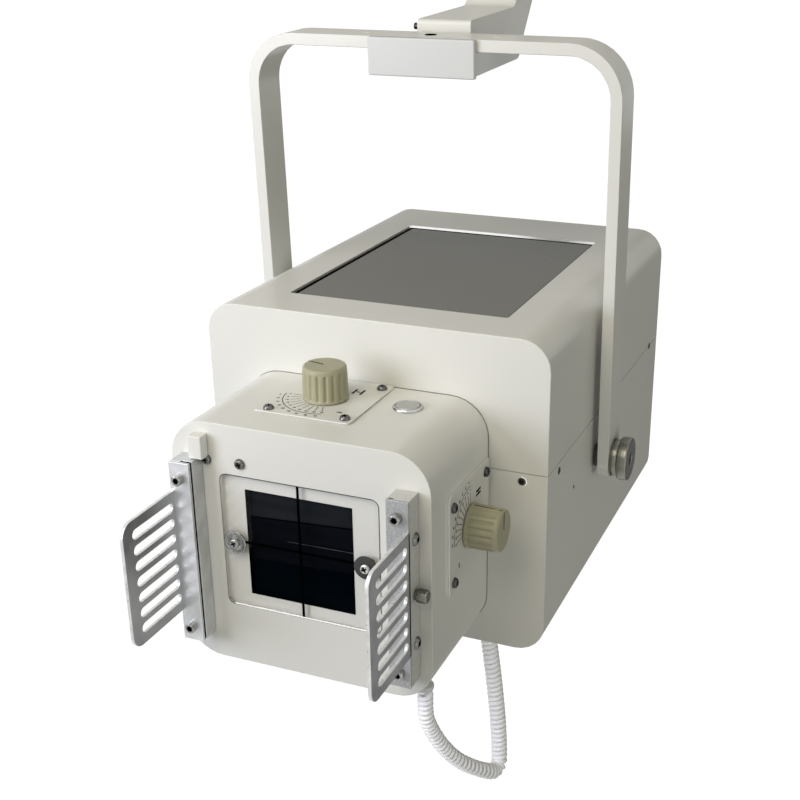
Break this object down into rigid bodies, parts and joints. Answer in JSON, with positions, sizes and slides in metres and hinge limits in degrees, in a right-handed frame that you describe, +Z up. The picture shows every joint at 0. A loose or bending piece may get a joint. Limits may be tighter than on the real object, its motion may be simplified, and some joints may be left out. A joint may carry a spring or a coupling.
{
  "type": "portable x-ray head in a tilting yoke",
  "caption": "Portable x-ray generator with a touch screen, a beam collimator with slotted brackets, and a coiled lead, hung in a U-shaped yoke on the end of a stand's arm.",
  "frame": {"origin": "centre of the top face of the arm's flange, where the stand holds the part", "axes": "+Z up and out of the flange face, the collimator faces -Y, +X is the right side seen from the front of the beam's path"},
  "size_m": [0.2946, 0.4862, 0.5847],
  "materials": {
    "ivory_paint": "smooth semi-gloss ivory paint",
    "screen_glass": "dark grey anti-glare touch glass",
    "black_plastic": "matt black moulding",
    "acrylic": "clear polished acrylic",
    "shutter_lead": "blackened sheet",
    "brushed_aluminium": "fine brushed",
    "chrome": "bright plated",
    "dark_steel": "turned steel",
    "olive_plastic": "olive-beige satin knob",
    "dial_plate": "satin ivory plate with a printed scale",
    "white_lead": "glossy white sleeve",
    "rubber": "black rubber",
    "tank_steel": "bare tank, not seen"
  },
  "bodies": {
    "arm": {"arm_end": "ivory_paint", "arm_flange": "ivory_paint", "arm_set_screw": "black_plastic", "yoke_carrier": "ivory_paint", "yoke": "ivory_paint", "yoke_centre_bolt": "dark_steel"},
    "head": {"pivot_spacer_left": "black_plastic", "pivot_spacer_right": "black_plastic", "pivot_knob_left": "dark_steel", "pivot_knob_right": "dark_steel", "housing_lower": "ivory_paint", "housing_upper": "ivory_paint", "screen_glass": "screen_glass", "screen_frame": "black_plastic", "xray_tank": "tank_steel", "collimator_housing": "ivory_paint", "window_plate": "acrylic", "window_washer_left": "chrome", "window_washer_right": "chrome", "shutter_leaf_upper": "shutter_lead", "shutter_leaf_lower": "shutter_lead", "shutter_leaf_left": "shutter_lead", "shutter_leaf_right": "shutter_lead", "rail_left": "brushed_aluminium", "rail_right": "brushed_aluminium", "bracket_left": "brushed_aluminium", "bracket_right": "brushed_aluminium", "rail_thumbscrew": "dark_steel", "slot_stop_block": "ivory_paint", "dial_plate_top": "dial_plate", "dial_plate_side": "dial_plate", "dial_knob_top": "olive_plastic", "dial_knob_side": "olive_plastic", "light_button_ring": "chrome", "light_button_cap": "brushed_aluminium", "lead_gland_front": "white_lead", "lead_gland_rear": "white_lead", "curly_lead": "white_lead", "rear_panel": "brushed_aluminium", "mains_inlet": "black_plastic", "power_switch": "black_plastic", "hand_switch_socket": "chrome", "foot_front_left": "rubber", "foot_front_right": "rubber", "foot_back_left": "rubber", "foot_back_right": "rubber"}
  },
  "joints": [
    {"name": "head_tilt", "type": "hinge", "parent": "arm", "child": "head", "pos_m": [0, -0.17158, -0.372], "axis": [1, 0, 0], "range_deg": [-70, 90]}
  ]
}
